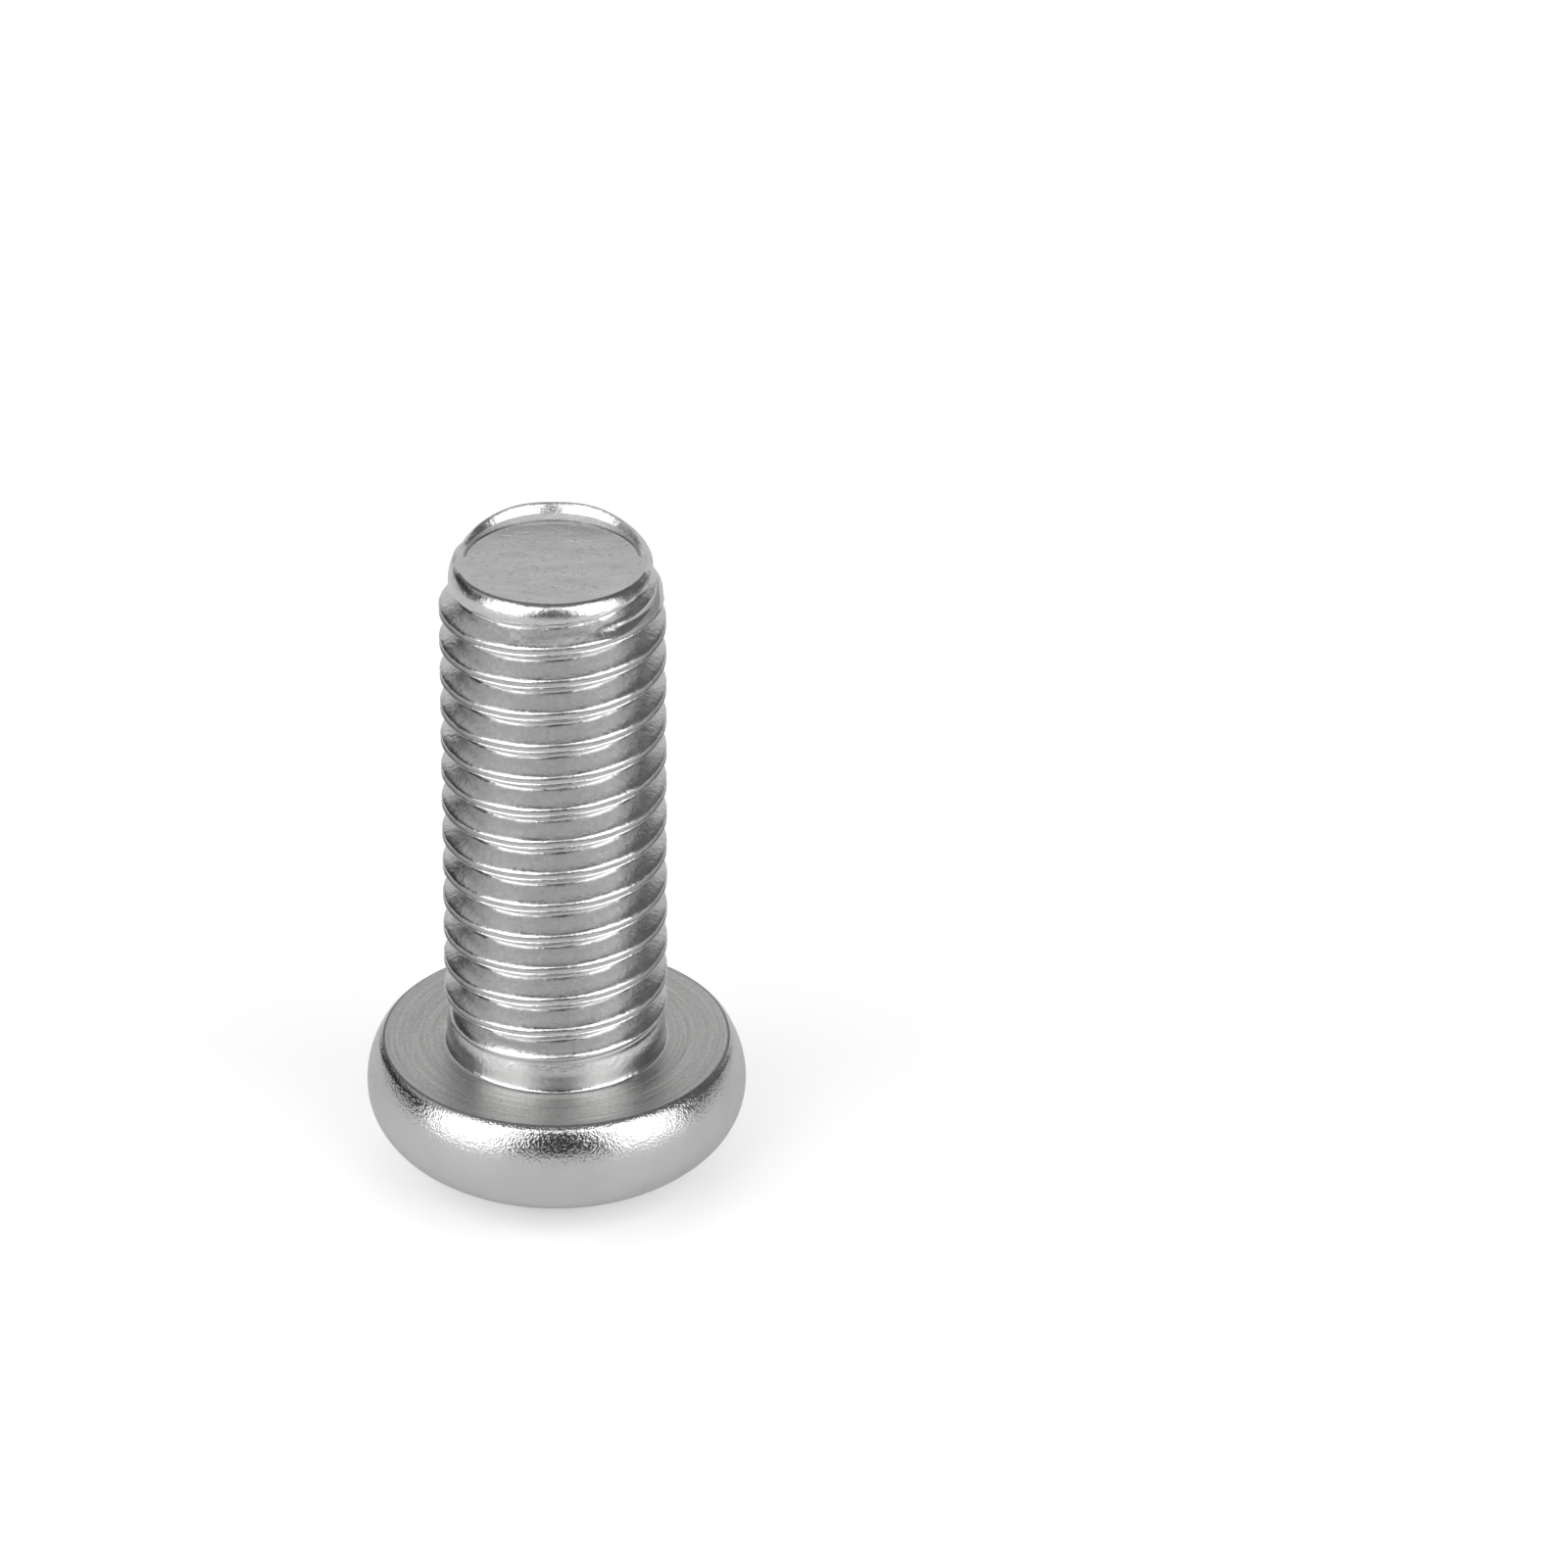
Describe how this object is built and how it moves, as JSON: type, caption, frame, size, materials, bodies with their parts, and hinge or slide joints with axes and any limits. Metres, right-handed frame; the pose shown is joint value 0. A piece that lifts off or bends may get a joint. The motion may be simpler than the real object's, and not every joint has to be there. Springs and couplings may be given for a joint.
{
  "type": "machine screw",
  "caption": "Stainless steel machine screw with a domed pan head, a cross recess and a full-length metric thread, standing on its head.",
  "frame": {"origin": "The centre of the bearing face under the head.", "axes": "+Z runs along the shank to the tip; the head is on the negative side. +X is one wing of the cross recess and +Y the next."},
  "size_m": [0.0084, 0.0084, 0.0152],
  "materials": {
    "steel": "satin"
  },
  "bodies": {
    "root": {"machine_screw": "steel"}
  },
  "joints": []
}
